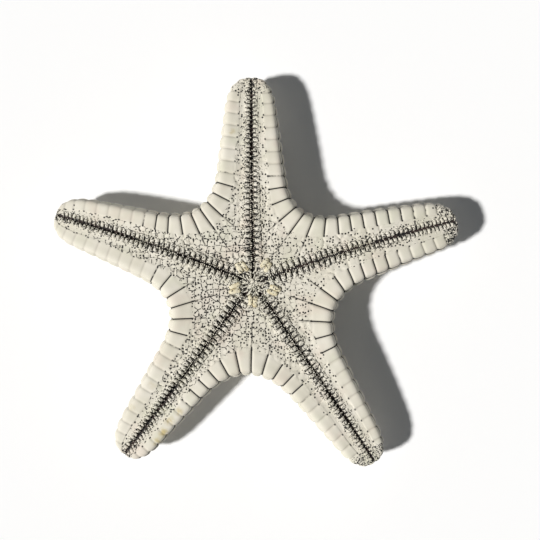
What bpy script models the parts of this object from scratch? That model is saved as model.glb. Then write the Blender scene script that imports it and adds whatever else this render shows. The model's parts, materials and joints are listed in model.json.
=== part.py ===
# Dried starfish lying on its back, mouth side up.
#
# It is one grown piece: five blunt arms round a mouth, a groove along each arm, a border of
# large plates in two rows along every edge, and a back with low worn knobs that it rests on.
# X runs to the right and Y away from the viewer, the mouth's axis is Z, and Z = 0 is the
# surface that the knobs rest on. Driving dimensions are in millimetres and degrees.
import math
from collections import namedtuple

import bmesh
import bpy
import numpy as np

MM = 0.001

# Arms, counter-clockwise from the one at the right. The heading is the direction of the
# groove, the reach runs from the mouth to the tip, and the bow is how far the groove swings
# to the left at mid-arm. Left and right are as seen from the mouth, and each side has one
# half-width near the disc and one near the tip, at the two distances below.
Arm = namedtuple("Arm", "heading reach bow left_base left_tip right_base right_tip")
ARMS = (
    Arm(17.1, 80.9, 1.2, 14.3, 9.9, 13.5, 10.2),
    Arm(90.5, 78.0, 0.2, 14.2, 10.2, 13.5, 9.2),
    Arm(160.9, 79.5, -1.2, 14.3, 10.3, 13.3, 9.4),
    Arm(233.1, 81.7, 0.0, 12.4, 8.9, 14.4, 10.2),
    Arm(304.2, 82.5, 0.4, 13.3, 9.1, 14.2, 9.9),
)
BASE_DISTANCE = 38.0
TIP_DISTANCE = 68.3
TIP_LENGTH = 14.0
TIP_ROUNDNESS = 3.2
# From the mouth to the edge in the notch between each arm and the next one.
NOTCH_REACH = (33.8, 35.9, 34.0, 35.3, 33.3)

# Heights. The mouth side bends down by TIP_DROOP over DROOP_LENGTH. The back's middle line
# rises from the centre to each tip, and the notches lie at the height that it has at
# NOTCH_SHARE of an arm.
ORAL_LEVEL = 22.5
TIP_DROOP = 4.5
DROOP_LENGTH = 80.0
DROOP_CURVE = 3.0
BACK_AT_CENTRE = 1.9
BACK_RISE = 6.0
BACK_CURVE = 2.2
NOTCH_SHARE = 0.36
SLIMMEST = 0.55

# Groove, mouth and the ridge of small plates beside the groove.
GROOVE_HALF_WIDTH = 0.8
GROOVE_DEPTH = 2.4
GROOVE_DEPTH_AT_TIP = 0.9
GROOVE_END_GAP = 2.5
LIP_DROP = 0.5
RIDGE_AT = 2.1
RIDGE_FOOT_AT = 3.9
RIDGE_FOOT_DROP = 0.7
MOUTH_RADIUS = 3.6
MOUTH_DEPTH = 3.6
FIELD_DROP = 0.25
# The same places near a tip, as the largest shares of the way from groove to edge.
LIP_SHARE = 0.10
RIDGE_SHARE = 0.24
RIDGE_FOOT_SHARE = 0.40

# Border plates in two rows: the upper row shows from the mouth side, the lower row faces
# the back. A plate's depth is measured inwards from the edge.
PLATES_PER_SIDE = 14
PITCH_AT_NOTCH = 3.7
PITCH_ON_ARM = 5.0
PITCH_AT_TIP = 3.4
PLATE_DEPTH = 6.2
NOTCH_EXTRA_DEPTH = 4.0
NOTCH_EXTRA_LENGTH = 9.0
PLATE_DEPTH_SHARE = 0.54
PLATE_SHOULDER = 0.16
SEAM_DEPTH = 0.55
INNER_SEAM_DROP = 0.6
FAN_LENGTH = 3.8

# Edge profile. Insets are from the outline, drops are from the mouth side, and shares are
# of the thickness there.
SHOULDER_INSET = 2.8
SHOULDER_DROP = 0.3
RIM_INSET = 0.9
RIM_DROP = 1.9
MIDDLE_SEAM_INSET = 0.55
MIDDLE_SEAM_SHARE = 0.26
BULGE_SHARE = 0.39
LOWER_SEAM_INSET = 1.7
LOWER_SEAM_SHARE = 0.57
# Back profile: how far out from the middle line, and how far down, both as shares.
BACK_SHOULDER = (0.70, 0.80)
BACK_SLOPE = (0.36, 0.95)

# Knobs of the back: one at the centre, a ring of five and a row along each arm. A knob
# with no height reaches down to the ground.
Knob = namedtuple("Knob", "distance radius height")
CENTRE_KNOB = Knob(0.0, 5.6, None)
RING_KNOB = Knob(15.5, 4.6, None)
ARM_KNOBS = (
    Knob(26.5, 3.7, 2.1),
    Knob(36.0, 3.3, 1.8),
    Knob(45.0, 2.9, 1.5),
    Knob(53.5, 2.5, 1.2),
)
KNOB_SIDES = 8
KNOB_ROOT = 2.3
GROUND_CLEARANCE = 0.35
# What the join of the knobs may leave: shorter edges and thinner faces are taken out.
SHORTEST_EDGE = 0.1
THINNEST_FACE = 0.02

OUTLINE_POINTS = 500
BISECTIONS = 40
FINE = 3  # stations for each plate in the border's rows
FIRST_FINE_ROW = 5
LAST_FINE_ROW = 11
SHELL_COLOUR = (0.76, 0.69, 0.58, 1.0)


def unit_vector(degrees):
    """Unit vector of a direction in the XY plane."""
    angle = math.radians(degrees)
    return np.array([math.cos(angle), math.sin(angle)])


def bow(arm, distance):
    """How far the groove has swung to the left at a distance along the arm."""
    q = np.clip(distance / arm.reach, 0.0, 1.0)
    return arm.bow * 4.0 * q * (1.0 - q)


def arm_coordinates(arm, points):
    """Distance along the arm, and distance to the left of its groove, of each point."""
    along = unit_vector(arm.heading)
    left = np.array([-along[1], along[0]])
    distance = points @ along
    return distance, points @ left - bow(arm, distance)


def groove_points(arm, distance):
    """Points on the arm's groove at each distance from the mouth."""
    along = unit_vector(arm.heading)
    left = np.array([-along[1], along[0]])
    distance = np.asarray(distance, float)[:, None]
    return distance * along + bow(arm, distance) * left


def half_width(arm, distance, sideways):
    """Half-width on the side where sideways points: a straight taper with a round tip."""
    base = np.where(sideways >= 0, arm.left_base, arm.right_base)
    tip = np.where(sideways >= 0, arm.left_tip, arm.right_tip)
    share = (distance - BASE_DISTANCE) / (TIP_DISTANCE - BASE_DISTANCE)
    q = np.clip((distance - arm.reach + TIP_LENGTH) / TIP_LENGTH, 0.0, 1.0)
    rounding = (1.0 - q**TIP_ROUNDNESS) ** (1.0 / TIP_ROUNDNESS)
    return (base + (tip - base) * share) * rounding


def outside_by(arm, points):
    """How far points lie outside the arm's edge, measured across the arm."""
    distance, sideways = arm_coordinates(arm, points)
    return np.abs(sideways) - half_width(arm, distance, sideways)


def blended(a, b, size):
    """The lower of two distances, with a rounded corner where they are alike."""
    near = np.clip(size - np.abs(a - b), 0.0, None) / size
    return np.minimum(a, b) - near * near * size / 4.0


def notch_heading(index):
    """Direction midway between an arm and the next one, in degrees."""
    start = ARMS[index].heading
    turn = (ARMS[(index + 1) % len(ARMS)].heading - start) % 360.0
    return start + turn / 2.0


def half_outline(index, side):
    """Dense outline of half an arm, from the notch beside it to its tip.

    side is 1 for the left half of the arm and -1 for the right half. Rays from the mouth
    are cut where they leave the two arms that meet in the notch.
    """
    notch = index if side > 0 else (index - 1) % len(ARMS)
    arm = ARMS[index]
    other = ARMS[(index + side) % len(ARMS)]
    apex = NOTCH_REACH[notch] * unit_vector(notch_heading(notch))[None, :]
    blend_size = 2.0 * float(outside_by(arm, apex)[0] + outside_by(other, apex)[0])
    half_turn = (side * (notch_heading(notch) - arm.heading)) % 360.0
    offsets = half_turn * (1.0 - np.linspace(0.0, 1.0, OUTLINE_POINTS)) ** 2
    angles = np.radians(arm.heading + side * offsets)
    rays = np.stack([np.cos(angles), np.sin(angles)], 1)
    low = np.full(OUTLINE_POINTS, NOTCH_REACH[notch] / 2.0)
    high = np.full(OUTLINE_POINTS, arm.reach + 10.0)
    for _ in range(BISECTIONS):
        middle = (low + high) / 2.0
        points = rays * middle[:, None]
        gap = blended(outside_by(arm, points), outside_by(other, points), blend_size)
        low = np.where(gap < 0, middle, low)
        high = np.where(gap < 0, high, middle)
    return rays * low[:, None]


def plate_stations(outline):
    """Points along an outline at each seam and at the two shoulders of each plate."""
    steps = np.linalg.norm(np.diff(outline, axis=0), axis=1)
    run = np.concatenate([[0.0], np.cumsum(steps)])
    pitches = (PITCH_AT_NOTCH, PITCH_ON_ARM, PITCH_ON_ARM, PITCH_AT_TIP)
    pitch = np.interp(run / run[-1], (0.0, 0.35, 0.7, 1.0), pitches)
    plates_per_step = steps * (1.0 / pitch[1:] + 1.0 / pitch[:-1]) / 2.0
    count = np.concatenate([[0.0], np.cumsum(plates_per_step)])
    count *= PLATES_PER_SIDE / count[-1]
    places = []
    for plate in range(PLATES_PER_SIDE):
        places += [plate, plate + PLATE_SHOULDER, plate + 1.0 - PLATE_SHOULDER]
    places.append(PLATES_PER_SIDE)
    return np.stack([np.interp(places, count, outline[:, axis]) for axis in (0, 1)], 1)


def groove_stations(arm, edges):
    """Distances along the groove that go with the plates' stations on both edges.

    In the notch the plates fan out from the mouth, and along the arm they lie across it.
    """
    both = []
    for edge in edges:
        distance, _ = arm_coordinates(arm, edge)
        fan = distance[0] * np.exp(-(distance - distance[0]) / FAN_LENGTH)
        both.append((distance - fan) * (arm.reach - GROOVE_END_GAP) / arm.reach)
    stations = (both[0] + both[1]) / 2.0
    stations[0] = 0.0
    return stations


def oral_level(distance):
    """Height of the mouth side at a distance along an arm."""
    return ORAL_LEVEL - TIP_DROOP * (distance / DROOP_LENGTH) ** DROOP_CURVE


def back_height(tipward):
    """Height of the back, where tipward runs from 0 at the centre to 1 at an arm's tip."""
    return BACK_AT_CENTRE + BACK_RISE * tipward**BACK_CURVE


def mouth_drop(points):
    """How far the mouth's hollow lowers the mouth side at each point."""
    q = np.clip(1.0 - np.linalg.norm(points, axis=1) / MOUTH_RADIUS, 0.0, 1.0)
    return MOUTH_DEPTH * q * q * (3.0 - 2.0 * q)


def cross_sections(arm, edge, stations):
    """Rows of points over half an arm, from the groove over the edge to the back's middle.

    Each row follows the arm from the notch to the tip, with FINE stations for each plate.
    """
    groove = groove_points(arm, stations)
    line = edge - groove
    length = np.linalg.norm(line, axis=1)
    cosine = np.clip(line @ unit_vector(arm.heading) / length, -1.0, 1.0)
    sine = np.maximum(np.sqrt(1.0 - cosine**2), 0.02)

    distance, _ = arm_coordinates(arm, edge)
    from_notch = distance - distance[0]
    progress = from_notch / from_notch[-1]
    top = oral_level(distance)
    thick = top - back_height(NOTCH_SHARE + (1.0 - NOTCH_SHARE) * progress)
    slim = np.maximum(thick / thick[0], SLIMMEST)

    lip = np.minimum(GROOVE_HALF_WIDTH / sine, LIP_SHARE * length)
    ridge = np.minimum(RIDGE_AT / sine, RIDGE_SHARE * length)
    foot = np.minimum(RIDGE_FOOT_AT / sine, RIDGE_FOOT_SHARE * length)
    depth = PLATE_DEPTH + NOTCH_EXTRA_DEPTH * np.exp(-from_notch / NOTCH_EXTRA_LENGTH)
    depth = np.minimum(depth, PLATE_DEPTH_SHARE * length)
    inner = length - depth
    # The edge's rounding and its seams shrink with the plates, which are short at the tip.
    inset = np.minimum(slim, depth / PLATE_DEPTH)
    seam = np.zeros(len(edge))
    seam[::FINE] = SEAM_DEPTH * np.minimum(1.0, inset[::FINE] / SLIMMEST)
    q = stations / stations[-1]
    groove_depth = GROOVE_DEPTH + (GROOVE_DEPTH_AT_TIP - GROOVE_DEPTH) * q**4
    groove_floor = oral_level(stations) - groove_depth

    # Each row of the mouth side and the edge: distance out from the groove, and height.
    oral_rows = (
        (0.0 * length, groove_floor),
        (lip, top - LIP_DROP * slim),
        (ridge, top),
        (foot, top - RIDGE_FOOT_DROP * slim),
        (0.5 * (foot + inner), top - FIELD_DROP),
        (inner, top - INNER_SEAM_DROP),
        (inner + PLATE_SHOULDER * depth, top - seam),
        (length - SHOULDER_INSET * inset, top - SHOULDER_DROP - seam),
        (length - RIM_INSET * inset - 0.6 * seam, top - RIM_DROP * slim - 0.6 * seam),
    )
    back_rows = (
        (length - MIDDLE_SEAM_INSET * inset, top - MIDDLE_SEAM_SHARE * thick),
        (length - seam, top - BULGE_SHARE * thick),
        (length - LOWER_SEAM_INSET * inset, top - LOWER_SEAM_SHARE * thick),
        (BACK_SHOULDER[0] * length, top - BACK_SHOULDER[1] * thick),
        (BACK_SLOPE[0] * length, top - BACK_SLOPE[1] * thick),
        (0.0 * length, back_height(stations / arm.reach)),
    )
    rows = []
    for out, height in oral_rows:
        points = groove + line * (out / length)[:, None]
        rows.append(np.column_stack([points, height - mouth_drop(points)]))
    for out, height in back_rows:
        points = groove + line * (out / length)[:, None]
        rows.append(np.column_stack([points, height]))
    return rows


def add_face(mesh, corners, flip):
    """Face over the corners, turned round if flip is set."""
    mesh.faces.new(corners[::-1] if flip else corners)


def add_even_band(mesh, first, second, flip):
    """Faces between two rows with the same stations."""
    for a in range(len(first) - 1):
        add_face(mesh, (first[a], second[a], second[a + 1], first[a + 1]), flip)


def add_step_band(mesh, coarse, fine, flip):
    """Faces between a row with one station for each plate and a row with FINE of them."""
    for plate in range(PLATES_PER_SIDE):
        a, b = coarse[plate], coarse[plate + 1]
        c, d, e, f = fine[FINE * plate : FINE * plate + FINE + 1]
        add_face(mesh, (a, c, d), flip)
        add_face(mesh, (a, d, e, b), flip)
        add_face(mesh, (b, e, f), flip)


def add_half_arm(mesh, rows, flip):
    """One half of an arm with its share of the disc, as bands of faces."""
    rings = []
    for number, points in enumerate(rows):
        is_fine = FIRST_FINE_ROW <= number <= LAST_FINE_ROW
        used = points if is_fine else points[::FINE]
        rings.append([mesh.verts.new(point * MM) for point in used])
    for first, second in zip(rings, rings[1:]):
        if len(first) == len(second):
            add_even_band(mesh, first, second, flip)
        elif len(first) < len(second):
            add_step_band(mesh, first, second, flip)
        else:
            add_step_band(mesh, second, first, not flip)


def add_knob(mesh, centre, radius, root, crown):
    """A low knob pointing down, from the height root to a worn flat at the height crown."""
    levels = ((1.0, root), (0.86, root + 0.62 * (crown - root)), (0.5, crown))
    rings = []
    for share, height in levels:
        ring = []
        for k in range(KNOB_SIDES):
            angle = 2.0 * math.pi * (k + 0.5) / KNOB_SIDES
            x = centre[0] + share * radius * math.cos(angle)
            y = centre[1] + share * radius * math.sin(angle)
            ring.append(mesh.verts.new((x * MM, y * MM, height * MM)))
        rings.append(ring)
    for upper, lower in zip(rings, rings[1:]):
        for k in range(KNOB_SIDES):
            n = (k + 1) % KNOB_SIDES
            mesh.faces.new((upper[n], upper[k], lower[k], lower[n]))
    mesh.faces.new(rings[0])
    mesh.faces.new(rings[-1][::-1])


def new_object(name, mesh, material):
    """Scene object from a bmesh, shaded smooth between its creases."""
    data = bpy.data.meshes.new(name)
    mesh.to_mesh(data)
    mesh.free()
    data.materials.append(material)
    data.shade_smooth()
    data.set_sharp_from_angle(angle=math.radians(40.0))
    thing = bpy.data.objects.new(name, data)
    bpy.context.scene.collection.objects.link(thing)
    return thing


def shell_material():
    """Bleached, dry skeleton plates: matt and cream-coloured."""
    material = bpy.data.materials.new("bleached starfish skeleton")
    material.use_nodes = True
    shader = material.node_tree.nodes["Principled BSDF"]
    shader.inputs["Base Color"].default_value = SHELL_COLOUR
    shader.inputs["Roughness"].default_value = 0.8
    shader.inputs["Metallic"].default_value = 0.0
    return material


def build_body(material):
    """The whole star without its knobs."""
    mesh = bmesh.new()
    for index, arm in enumerate(ARMS):
        edges = [plate_stations(half_outline(index, side)) for side in (1, -1)]
        stations = groove_stations(arm, edges)
        add_half_arm(mesh, cross_sections(arm, edges[0], stations), True)
        add_half_arm(mesh, cross_sections(arm, edges[1], stations), False)
    bmesh.ops.remove_doubles(mesh, verts=mesh.verts, dist=0.00002)
    bmesh.ops.triangulate(mesh, faces=mesh.faces)
    bmesh.ops.recalc_face_normals(mesh, faces=mesh.faces)
    return new_object("starfish", mesh, material)


def build_knobs(material):
    """The knobs of the back, as one object that is then joined to the star."""
    mesh = bmesh.new()
    root = BACK_AT_CENTRE + KNOB_ROOT
    add_knob(mesh, (0.0, 0.0), CENTRE_KNOB.radius, root, 0.0)
    for arm in ARMS:
        centre = groove_points(arm, [RING_KNOB.distance])[0]
        add_knob(mesh, centre, RING_KNOB.radius, root, 0.0)
        for knob in ARM_KNOBS:
            centre = groove_points(arm, [knob.distance])[0]
            level = back_height(knob.distance / arm.reach)
            crown = max(level - knob.height, GROUND_CLEARANCE)
            add_knob(mesh, centre, knob.radius, level + KNOB_ROOT, crown)
    return new_object("knobs", mesh, material)


def joined(body, knobs):
    """Joins the knobs to the star and takes out the very thin faces that the join leaves."""
    union = body.modifiers.new("knobs", "BOOLEAN")
    union.operation = "UNION"
    union.object = knobs
    graph = bpy.context.evaluated_depsgraph_get()
    mesh = bmesh.new()
    mesh.from_mesh(body.evaluated_get(graph).data)
    body.modifiers.remove(union)
    bpy.data.objects.remove(knobs)
    bmesh.ops.dissolve_degenerate(mesh, dist=SHORTEST_EDGE * MM, edges=mesh.edges)
    bmesh.ops.triangulate(mesh, faces=mesh.faces)
    # A thin face that is left has a corner on its own longest edge. That edge is turned.
    turned = []
    for face in mesh.faces:
        longest = max(face.edges, key=lambda edge: edge.calc_length())
        if 2.0 * face.calc_area() < THINNEST_FACE * MM * longest.calc_length():
            turned.append(longest)
    for edge in turned:
        bmesh.utils.edge_rotate(edge)
    mesh.to_mesh(body.data)
    mesh.free()
    body.data.shade_smooth()
    body.data.set_sharp_from_angle(angle=math.radians(40.0))


def main():
    for thing in list(bpy.data.objects):
        bpy.data.objects.remove(thing)
    material = shell_material()
    joined(build_body(material), build_knobs(material))


main()
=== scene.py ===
# %% [markdown]
# # A dried starfish, mouth side up
#
# The real animal is a bleached, dry skeleton of many small lime plates held by skin. It is
# one grown piece, so the solid model is one node. Here its looks are built round that node:
# one skin with all its plates, and the small repeated parts that stand on the skin.
# Lengths are written in millimetres and turned to metres where a mesh is made.

import json
import math
from collections import namedtuple
from functools import partial
from types import SimpleNamespace

import bmesh
import bpy
import numpy as np
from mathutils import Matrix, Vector, kdtree

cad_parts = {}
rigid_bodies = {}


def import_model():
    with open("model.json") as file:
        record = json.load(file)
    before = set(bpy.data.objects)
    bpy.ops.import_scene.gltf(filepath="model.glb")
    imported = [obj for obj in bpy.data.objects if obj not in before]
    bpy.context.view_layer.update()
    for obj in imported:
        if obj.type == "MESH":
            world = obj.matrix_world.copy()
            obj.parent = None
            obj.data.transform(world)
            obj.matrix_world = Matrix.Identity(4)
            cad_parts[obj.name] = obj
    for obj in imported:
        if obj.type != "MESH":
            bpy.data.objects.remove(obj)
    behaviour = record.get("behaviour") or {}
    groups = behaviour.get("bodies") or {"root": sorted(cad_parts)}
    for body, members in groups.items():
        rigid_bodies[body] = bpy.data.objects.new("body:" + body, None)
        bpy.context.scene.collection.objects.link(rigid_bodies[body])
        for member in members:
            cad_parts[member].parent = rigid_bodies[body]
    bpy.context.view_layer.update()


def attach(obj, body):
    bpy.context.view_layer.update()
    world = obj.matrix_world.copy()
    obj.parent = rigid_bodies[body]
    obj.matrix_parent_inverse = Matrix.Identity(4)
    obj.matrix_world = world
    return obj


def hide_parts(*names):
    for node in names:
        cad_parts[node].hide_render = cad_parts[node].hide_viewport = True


MM = 0.001
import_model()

# %% [markdown]
# ## The star's own measures
#
# The outline follows a rule: five straight arms with round tips, and a round notch between
# each pair. The same few measures drove the solid model, so a skin that is made from them
# follows the solid to within about a millimetre. A scan or a hand-drawn outline would need
# hundreds of points and would be hard to change.

# %% Measures of the arms, the notches and the heights
Arm = namedtuple("Arm", "heading reach bow left_base left_tip right_base right_tip")
ARMS = (
    Arm(17.1, 80.9, 1.2, 14.3, 9.9, 13.5, 10.2),
    Arm(90.5, 78.0, 0.2, 14.2, 10.2, 13.5, 9.2),
    Arm(160.9, 79.5, -1.2, 14.3, 10.3, 13.3, 9.4),
    Arm(233.1, 81.7, 0.0, 12.4, 8.9, 14.4, 10.2),
    Arm(304.2, 82.5, 0.4, 13.3, 9.1, 14.2, 9.9),
)
BASE_DISTANCE = 38.0
TIP_DISTANCE = 68.3
TIP_LENGTH = 14.0
TIP_ROUNDNESS = 3.2
NOTCH_REACH = (33.8, 35.9, 34.0, 35.3, 33.3)

ORAL_LEVEL = 22.5
TIP_DROOP = 4.5
DROOP_LENGTH = 80.0
DROOP_CURVE = 3.0
BACK_AT_CENTRE = 1.9
BACK_RISE = 6.0
BACK_CURVE = 2.2
NOTCH_SHARE = 0.36
SLIMMEST = 0.55

# %% Soft steps, directions and distances on an arm
def smooth(x):
    """Soft step from 0 to 1 while x goes from 0 to 1."""
    x = np.clip(x, 0.0, 1.0)
    return x * x * (3.0 - 2.0 * x)


def graded(pair, share):
    """Value that goes from the first of the pair at share 0 to the second at 1."""
    return pair[0] + (pair[1] - pair[0]) * share


def unit_vector(degrees):
    """Unit vector of a direction in the XY plane."""
    angle = math.radians(degrees)
    return np.array([math.cos(angle), math.sin(angle)])


def axes_of(arm):
    """Unit vectors along an arm and to its left."""
    along = unit_vector(arm.heading)
    left = np.array([-along[1], along[0]])
    return along, left


def bow(arm, distance):
    """How far the groove has swung to the left at a distance along the arm."""
    q = np.clip(distance / arm.reach, 0.0, 1.0)
    return arm.bow * 4.0 * q * (1.0 - q)


def arm_coordinates(arm, points):
    """Distance along the arm, and distance to the left of its groove, of each point."""
    along, left = axes_of(arm)
    distance = points @ along
    return distance, points @ left - bow(arm, distance)


def groove_points(arm, distance):
    """Points on the arm's groove at each distance from the mouth."""
    along, left = axes_of(arm)
    distance = np.asarray(distance, float)[:, None]
    return distance * along + bow(arm, distance) * left


# %% The outline of half an arm
def half_width(arm, distance, sideways):
    """Half-width on the side where sideways points: a straight taper with a round tip."""
    base = np.where(sideways >= 0, arm.left_base, arm.right_base)
    tip = np.where(sideways >= 0, arm.left_tip, arm.right_tip)
    share = (distance - BASE_DISTANCE) / (TIP_DISTANCE - BASE_DISTANCE)
    q = np.clip((distance - arm.reach + TIP_LENGTH) / TIP_LENGTH, 0.0, 1.0)
    rounding = (1.0 - q**TIP_ROUNDNESS) ** (1.0 / TIP_ROUNDNESS)
    return graded((base, tip), share) * rounding


def outside_by(arm, points):
    """How far points lie outside the arm's edge, measured across the arm."""
    distance, sideways = arm_coordinates(arm, points)
    return np.abs(sideways) - half_width(arm, distance, sideways)


def blended(a, b, size):
    """The lower of two distances, with a rounded corner where they are alike."""
    near = np.clip(size - np.abs(a - b), 0.0, None) / size
    return np.minimum(a, b) - near * near * size / 4.0


def notch_heading(index):
    """Direction midway between an arm and the next one, in degrees."""
    start = ARMS[index].heading
    turn = (ARMS[(index + 1) % len(ARMS)].heading - start) % 360.0
    return start + turn / 2.0


OUTLINE_POINTS = 500
BISECTIONS = 40


def half_outline(index, side):
    """Dense outline of half an arm, from the notch beside it to its tip."""
    notch = index if side > 0 else (index - 1) % len(ARMS)
    arm = ARMS[index]
    other = ARMS[(index + side) % len(ARMS)]
    apex = NOTCH_REACH[notch] * unit_vector(notch_heading(notch))[None, :]
    blend_size = 2.0 * float(outside_by(arm, apex)[0] + outside_by(other, apex)[0])
    half_turn = (side * (notch_heading(notch) - arm.heading)) % 360.0
    offsets = half_turn * (1.0 - np.linspace(0.0, 1.0, OUTLINE_POINTS)) ** 2
    angles = np.radians(arm.heading + side * offsets)
    rays = np.stack([np.cos(angles), np.sin(angles)], 1)
    low = np.full(OUTLINE_POINTS, NOTCH_REACH[notch] / 2.0)
    high = np.full(OUTLINE_POINTS, arm.reach + 10.0)
    for _ in range(BISECTIONS):
        middle = (low + high) / 2.0
        points = rays * middle[:, None]
        gap = blended(outside_by(arm, points), outside_by(other, points), blend_size)
        low = np.where(gap < 0, middle, low)
        high = np.where(gap < 0, high, middle)
    return rays * low[:, None]


# %% [markdown]
# ## Stations along the edge
#
# Every edge carries a row of large blocky plates, narrow in the notch and broad on the arm.
# The stations of the skin's grid are laid so that every seam between two plates falls on a
# line of the grid, and they crowd together beside the seams, where the surface bends most.
# An even grid would need four times the faces for the same crisp seams.

# %% Stations for each border plate
PLATES_PER_SIDE = 14
PITCH_AT_NOTCH = 3.7
PITCH_ON_ARM = 5.0
PITCH_AT_TIP = 3.4
STATIONS_PER_PLATE = 12
CROWDING = 0.6
GROOVE_END_GAP = 1.3
FAN_LENGTH = 3.8

even = np.arange(PLATES_PER_SIDE * STATIONS_PER_PLATE + 1) / STATIONS_PER_PLATE
plate_place = even - CROWDING * np.sin(2.0 * math.pi * even) / (2.0 * math.pi)


def edge_stations(outline):
    """Points along an outline at every value of plate_place."""
    steps = np.linalg.norm(np.diff(outline, axis=0), axis=1)
    run = np.concatenate([[0.0], np.cumsum(steps)])
    pitches = (PITCH_AT_NOTCH, PITCH_ON_ARM, PITCH_ON_ARM, PITCH_AT_TIP)
    pitch = np.interp(run / run[-1], (0.0, 0.35, 0.7, 1.0), pitches)
    plates_per_step = steps * (1.0 / pitch[1:] + 1.0 / pitch[:-1]) / 2.0
    count = np.concatenate([[0.0], np.cumsum(plates_per_step)])
    count *= PLATES_PER_SIDE / count[-1]
    return np.stack([np.interp(plate_place, count, outline[:, k]) for k in (0, 1)], 1)


def groove_stations(arm, edges):
    """Distances along the groove that go with the stations on both edges."""
    both = []
    for edge in edges:
        distance, _ = arm_coordinates(arm, edge)
        fan = distance[0] * np.exp(-(distance - distance[0]) / FAN_LENGTH)
        both.append((distance - fan) * (arm.reach - GROOVE_END_GAP) / arm.reach)
    stations = (both[0] + both[1]) / 2.0
    stations[0] = 0.0
    return stations


print("stations on each half arm:", len(plate_place))

# %% [markdown]
# ## The cross-section
#
# From the groove outwards, a cut through half an arm climbs the groove's wall, goes over
# the ridge of small plates, crosses a flat field, rises over the big border plates, rounds
# the rim, and comes back under the animal to the middle of its back. Fifteen places on that
# cut match those of the solid, with a rounder rim and shallower seams, and a smooth curve
# through them adds the rows between.

# %% Places of the cross-section
GROOVE_HALF_WIDTH = 0.8
GROOVE_DEPTH = (2.4, 0.9)  # at the mouth and at the tip
LIP_DROP = 0.5
RIDGE_AT = 2.1
RIDGE_FOOT_AT = 3.9
RIDGE_FOOT_DROP = 0.45
MOUTH_RADIUS = 3.6
MOUTH_DEPTH = 3.6
FIELD_DROP = 0.3
LIP_SHARE = 0.10
RIDGE_SHARE = 0.24
RIDGE_FOOT_SHARE = 0.40
PLATE_DEPTH = 6.2
NOTCH_EXTRA_DEPTH = 4.0
NOTCH_EXTRA_LENGTH = 9.0
PLATE_DEPTH_SHARE = 0.54
PLATE_SHOULDER = 0.16
INNER_SEAM_DROP = 0.04
SHOULDER_INSET = 1.8
SHOULDER_DROP = 0.5
RIM_INSET = 1.25
RIM_DROP = 1.6
MIDDLE_SEAM_INSET = 0.95
MIDDLE_SEAM_SHARE = 0.26
BULGE_SHARE = 0.39
LOWER_SEAM_INSET = 1.7
LOWER_SEAM_SHARE = 0.57
BACK_SHOULDER = (0.70, 0.80)
BACK_SLOPE = (0.36, 0.95)


def oral_level(distance):
    """Height of the mouth side at a distance along an arm."""
    return ORAL_LEVEL - TIP_DROOP * (distance / DROOP_LENGTH) ** DROOP_CURVE


def back_height(tipward):
    """Height of the back, where tipward runs from 0 at the centre to 1 at an arm's tip."""
    return BACK_AT_CENTRE + BACK_RISE * tipward**BACK_CURVE


def mouth_drop(points):
    """How far the mouth's hollow lowers the mouth side at each point."""
    return MOUTH_DEPTH * smooth(1.0 - np.linalg.norm(points, axis=1) / MOUTH_RADIUS)


def cross_section(arm, edge, stations):
    """The fifteen places over half an arm, and measures that the patterns need."""
    groove = groove_points(arm, stations)
    line = edge - groove
    length = np.linalg.norm(line, axis=1)
    cosine = np.clip(line @ unit_vector(arm.heading) / length, -1.0, 1.0)
    sine = np.maximum(np.sqrt(1.0 - cosine**2), 0.02)
    distance, _ = arm_coordinates(arm, edge)
    from_notch = distance - distance[0]
    progress = from_notch / from_notch[-1]
    top = oral_level(distance)
    thick = top - back_height(NOTCH_SHARE + (1.0 - NOTCH_SHARE) * progress)
    slim = np.maximum(thick / thick[0], SLIMMEST)
    lip = np.minimum(GROOVE_HALF_WIDTH / sine, LIP_SHARE * length)
    ridge = np.minimum(RIDGE_AT / sine, RIDGE_SHARE * length)
    foot = np.minimum(RIDGE_FOOT_AT / sine, RIDGE_FOOT_SHARE * length)
    depth = PLATE_DEPTH + NOTCH_EXTRA_DEPTH * np.exp(-from_notch / NOTCH_EXTRA_LENGTH)
    depth = np.minimum(depth, PLATE_DEPTH_SHARE * length)
    inner = length - depth
    inset = np.minimum(slim, depth / PLATE_DEPTH)
    q = stations / stations[-1]
    groove_floor = oral_level(stations) - graded(GROOVE_DEPTH, q**4)
    oral = (
        (0.0 * length, groove_floor),
        (lip, top - LIP_DROP * slim),
        (ridge, top - 0.25 * slim),
        (foot, top - RIDGE_FOOT_DROP * slim),
        (0.5 * (foot + inner), top - FIELD_DROP),
        (inner, top - INNER_SEAM_DROP),
        (inner + PLATE_SHOULDER * depth, top),
        (length - SHOULDER_INSET * inset, top - SHOULDER_DROP),
        (length - RIM_INSET * inset, top - RIM_DROP * slim),
    )
    back = (
        (length - MIDDLE_SEAM_INSET * inset, top - MIDDLE_SEAM_SHARE * thick),
        (length, top - BULGE_SHARE * thick),
        (length - LOWER_SEAM_INSET * inset, top - LOWER_SEAM_SHARE * thick),
        (BACK_SHOULDER[0] * length, top - BACK_SHOULDER[1] * thick),
        (BACK_SLOPE[0] * length, top - BACK_SLOPE[1] * thick),
        (0.0 * length, back_height(stations / arm.reach)),
    )
    rows = []
    for out, height in oral + back:
        points = groove + line * (out / length)[:, None]
        drop = mouth_drop(points) if len(rows) < len(oral) else 0.0
        rows.append(np.column_stack([points, height - drop]))
    return np.array(rows), {"foot": foot, "inner": inner, "from_notch": from_notch}


# %% Rows between the places, on a smooth curve
BAND_ROWS = (2, 3, 4, 7, 7, 3, 6, 3, 3, 3, 3, 4, 6, 5)
BACK_MIDDLE = len(BAND_ROWS)
INNER_SEAM_ROW = 5
MIDDLE_SEAM_ROW = 9
LOWER_SEAM_ROW = 11


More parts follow.
